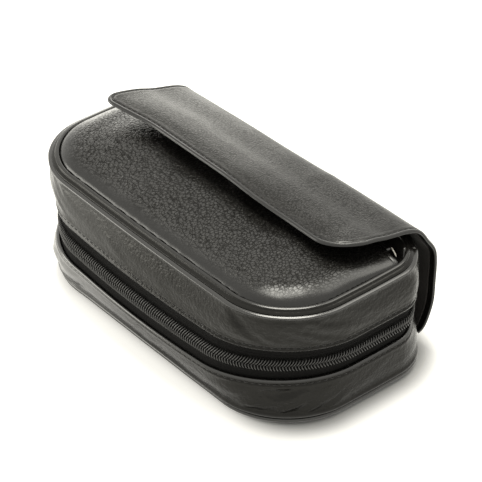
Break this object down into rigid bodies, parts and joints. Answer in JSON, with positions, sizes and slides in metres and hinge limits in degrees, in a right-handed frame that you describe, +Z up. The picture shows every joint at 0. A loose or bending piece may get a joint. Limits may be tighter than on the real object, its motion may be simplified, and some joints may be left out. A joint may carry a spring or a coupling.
{
  "type": "zipped grooming case",
  "caption": "Rectangular zipped leather case for grooming tools, with rounded corners, a padded front pocket and a wide flap that wraps over its rear side.",
  "frame": {"origin": "on the table, under the middle of the case's length and near the middle of its depth, on the back panel's underside", "axes": "+X along the case's long side, -Y towards the long side with the zip, +Y towards the hinged rear side with the flap's root, +Z up through the front pocket"},
  "size_m": [0.175, 0.1, 0.072],
  "materials": {
    "shell_leather": "smooth black leather, soft gloss",
    "pocket_leather": "coarse pebbled black leather",
    "flap_leather": "fine grained black leather, grey sheen",
    "binding_leather": "smooth turned strip",
    "lining_cloth": "plain black lining cloth",
    "board": "stiff board",
    "zip_tape": "woven black tape",
    "zip_coil": "black nylon coil",
    "elastic": "ribbed black elastic",
    "dark_metal": "dark nickel"
  },
  "bodies": {
    "base": {"back_panel": "shell_leather", "back_board": "board", "back_binding": "binding_leather", "base_band": "shell_leather", "base_rear_band": "shell_leather", "base_lining": "lining_cloth", "base_zip_tape": "zip_tape", "base_zip_coil": "zip_coil", "tool_strap": "elastic"},
    "lid": {"front_panel": "shell_leather", "front_board": "board", "front_pocket": "pocket_leather", "pocket_edge": "binding_leather", "front_binding": "binding_leather", "lid_band": "shell_leather", "lid_rear_band": "shell_leather", "lid_lining": "lining_cloth", "lid_zip_tape": "zip_tape", "lid_zip_coil": "zip_coil", "snap_stud": "dark_metal"},
    "flap_rear": {"flap_back": "flap_leather", "flap_back_lining": "lining_cloth"},
    "flap_front": {"flap_top": "flap_leather", "flap_top_lining": "lining_cloth", "snap_socket": "dark_metal"},
    "slider": {"slider_body": "dark_metal"},
    "pull": {"slider_pull": "dark_metal"}
  },
  "joints": [
    {"name": "lid_hinge", "type": "hinge", "parent": "base", "child": "lid", "pos_m": [0, 0.0444, 0.0293], "axis": [-1, 0, 0], "range_deg": [0, 90]},
    {"name": "flap_root", "type": "hinge", "parent": "base", "child": "flap_rear", "pos_m": [0, 0.04297, 0.00403], "axis": [-1, 0, 0], "range_deg": [0, 80]},
    {"name": "flap_fold", "type": "hinge", "parent": "flap_rear", "child": "flap_front", "pos_m": [0, 0.04026, 0.05668], "axis": [-1, 0, 0], "range_deg": [0, 90]},
    {"name": "slider_run", "type": "slide", "parent": "base", "child": "slider", "axis": [0, -1, 0], "range_m": [0, 0.014]},
    {"name": "pull_swing", "type": "hinge", "parent": "slider", "child": "pull", "pos_m": [-0.08708, 0.014, 0.0289], "axis": [0.1634, 0, -0.9866], "range_deg": [0, 175]}
  ],
  "couplings": [
    {"joint": "flap_root", "follows": "lid_hinge", "ratio": 0.8888}
  ]
}
